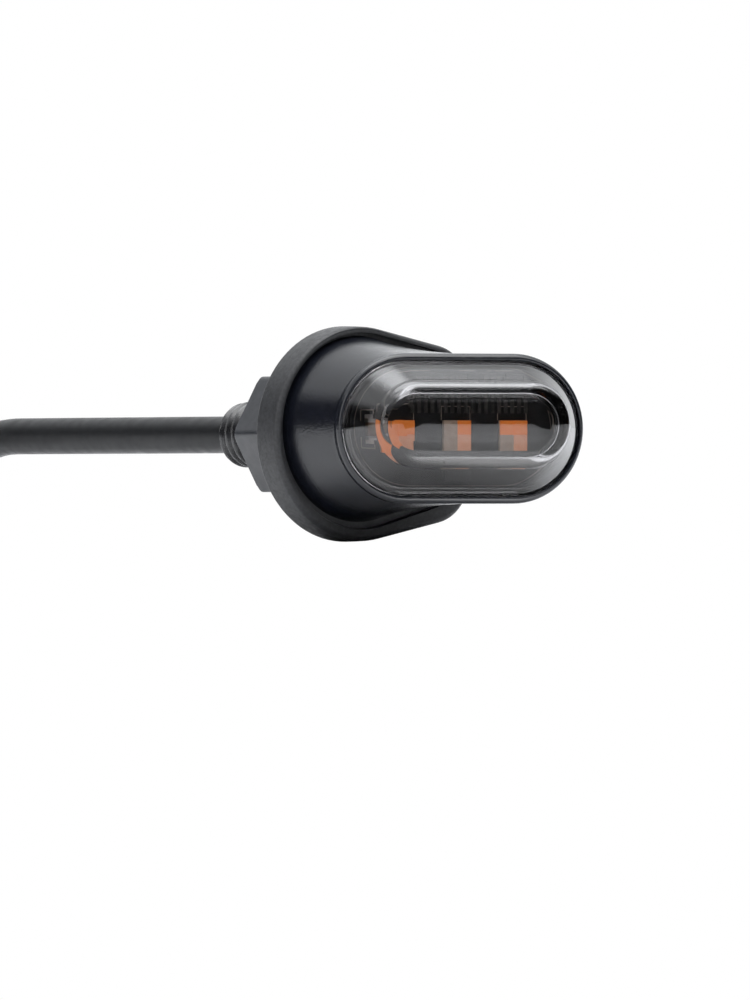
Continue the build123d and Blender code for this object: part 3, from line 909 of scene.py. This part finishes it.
def windows_mesh(quadrants):
    """Quarters of the LEDs' faces. In (LED, side, height), -1 is left or low and 1 is right or high."""

    def make(bm):
        quarter = LED_SIDE / 2 - WINDOW_GAP
        for index, side, height in quadrants:
            x, y = led_place(index)
            place = (x + side * LED_SIDE / 4, y + height * LED_SIDE / 4)
            size = (quarter, quarter, WINDOW_THICKNESS)
            add_nose_box(bm, place, size, BOARD_FRONT + WINDOW_BASE)

    return make


def chip_boxes(places, size, bevel=CHIP_BEVEL):
    def make(bm):
        for place in places:
            add_nose_box(bm, place, size, BOARD_FRONT)
        if bevel:
            bevel_all(bm, bevel * MM)

    return make


def capacitor_ends_mesh(bm):
    x, y = CAPACITOR_PLACE
    for side in (-1, 1):
        add_nose_box(bm, (x, y + side * CAPACITOR_CAP_OFFSET), CAPACITOR_CAP, BOARD_FRONT)
        add_nose_box(bm, (x, y + side * CAPACITOR_FOOT_OFFSET), CAPACITOR_FOOT, BOARD_FRONT)
    bevel_all(bm, CAPACITOR_BEVEL * MM)


def pad_places():
    """Two rows of small parts over the LEDs."""
    return [(PAD_START + PAD_PITCH * column, row) for row in PAD_ROWS for column in range(PADS_IN_ROW)]


# ---------------------------------------------------------------- cable, tie and plug
def cable_points():
    """The given route, then the coil: one turn on the floor and most of one on top of it."""
    points = list(CABLE_ROUTE)
    centre = (COIL_START[0] - COIL_RADIUS, COIL_START[1])
    turns = 1.0 + TOP_LAYER_TURN
    steps = round(turns * COIL_STEPS)
    control_radius = COIL_RADIUS / (0.5 + 0.5 * math.cos(2 * math.pi / COIL_STEPS)) ** 0.5
    for step in range(1, steps + 1):
        turn = turns * step / steps
        lift = min(max((turn - CLIMB_START) / CLIMB_LENGTH, 0.0), 1.0)
        angle = 2 * math.pi * turn
        points.append(
            (
                centre[0] + control_radius * math.cos(angle),
                centre[1] + control_radius * math.sin(angle),
                LAID_HEIGHT + CABLE_DIAMETER * lift,
            )
        )
    return points


def make_cable(materials):
    curve = bpy.data.curves.new("cable_line", "CURVE")
    curve.dimensions = "3D"
    curve.bevel_depth = CABLE_DIAMETER / 2
    curve.bevel_resolution = 10
    curve.resolution_u = 14
    curve.use_fill_caps = True
    points = cable_points()
    spline = curve.splines.new("NURBS")
    spline.points.add(len(points) - 1)
    for point, place in zip(spline.points, points):
        point.co = (*place, 1.0)
    spline.order_u = 3
    spline.use_endpoint_u = True
    curve.materials.append(materials["jacket"])
    cable = bpy.data.objects.new("cable_jacket", curve)
    bpy.context.scene.collection.objects.link(cable)
    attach(cable, "lamp")
    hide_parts("cable", "cable_coil")


# ---------------------------------------------------------------- assembly
CARRIED_OVER = {
    "lens_seal": "seal",
    "stud_seal": "seal",
    "mouth_seal": "seal",
    "potting": "resin",
    "driver_chip": "chip",
    "solder_joints": "tin",
    "lead_positive": "red",
    "lead_negative": "black",
    "jacket_end": "jacket",
    "cable_tie": "nylon",
    "plug_boot": "rubber",
    "plug_housing": "plug",
    "plug_terminals": "brass",
}


def dress_cad(materials):
    for node, key in CARRIED_OVER.items():
        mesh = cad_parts[node].data
        mesh.materials.clear()
        mesh.materials.append(materials[key])


def build():
    materials = make_materials()
    lamp = "lamp"
    zinc = materials["zinc"]
    piece_from("housing_shell", housing_mesh, materials["paint"], lamp, ["housing"])
    piece_from("lens_shell", lens_mesh, materials["lens"], lamp, ["lens"], sharp=50.0)
    piece_from("gasket_body", gasket_mesh, materials["rubber"], lamp, ["mount_gasket"])
    piece_from("stud_thread", stud_mesh, materials["oxide"], lamp, ["hollow_stud"], sharp=60.0)
    piece_from("nut_body", nut_mesh, materials["nut"], "nut", ["hex_nut"], sharp=24.0)
    piece_from("flat_washer_ring", washer_mesh, zinc, "washers", ["flat_washer"])
    piece_from("spring_washer_ring", spring_washer_mesh, zinc, "washers", ["spring_washer"])
    piece_from("board", board_mesh, materials["board"], lamp, ["circuit_board"])
    piece_from("board_print", board_print_mesh, materials["print"], lamp)
    small_parts = chip_boxes(pad_places(), PAD_SIZE, bevel=0.0)
    piece_from("small_parts", small_parts, materials["part"], lamp)
    for name, index in (("led_left", -1), ("led_centre", 0), ("led_right", 1)):
        piece_from(name + "_package", led_mesh(index), materials["led"], lamp, [name])
    lit = windows_mesh(AMBER_QUARTERS)
    piece_from("amber_windows", lit, materials["amber"], lamp, ["led_windows"])
    # the salmon and pale quarters are a painted reflection on the amber windows
    piece_from("salmon_reflection_windows", windows_mesh(SALMON_REFLECTION_QUARTERS), materials["salmon"], lamp)
    piece_from("pale_reflection_windows", windows_mesh(PALE_REFLECTION_QUARTERS), materials["pale"], lamp)
    cap = chip_boxes([CAPACITOR_PLACE], CAPACITOR_SIZE)
    piece_from("capacitor_body", cap, materials["ceramic"], lamp, ["capacitor"])
    piece_from("capacitor_ends", capacitor_ends_mesh, materials["tin"], lamp)
    resistors = chip_boxes(RESISTOR_PLACES, RESISTOR_SIZE)
    piece_from("resistor_bodies", resistors, materials["chip"], lamp, ["chip_resistors"])
    diode = chip_boxes(DIODE_PLACES, DIODE_SIZE)
    piece_from("diode_body", diode, materials["chip"], lamp, ["protection_diode"])
    make_cable(materials)
    dress_cad(materials)


make_camera()
make_studio()
build()
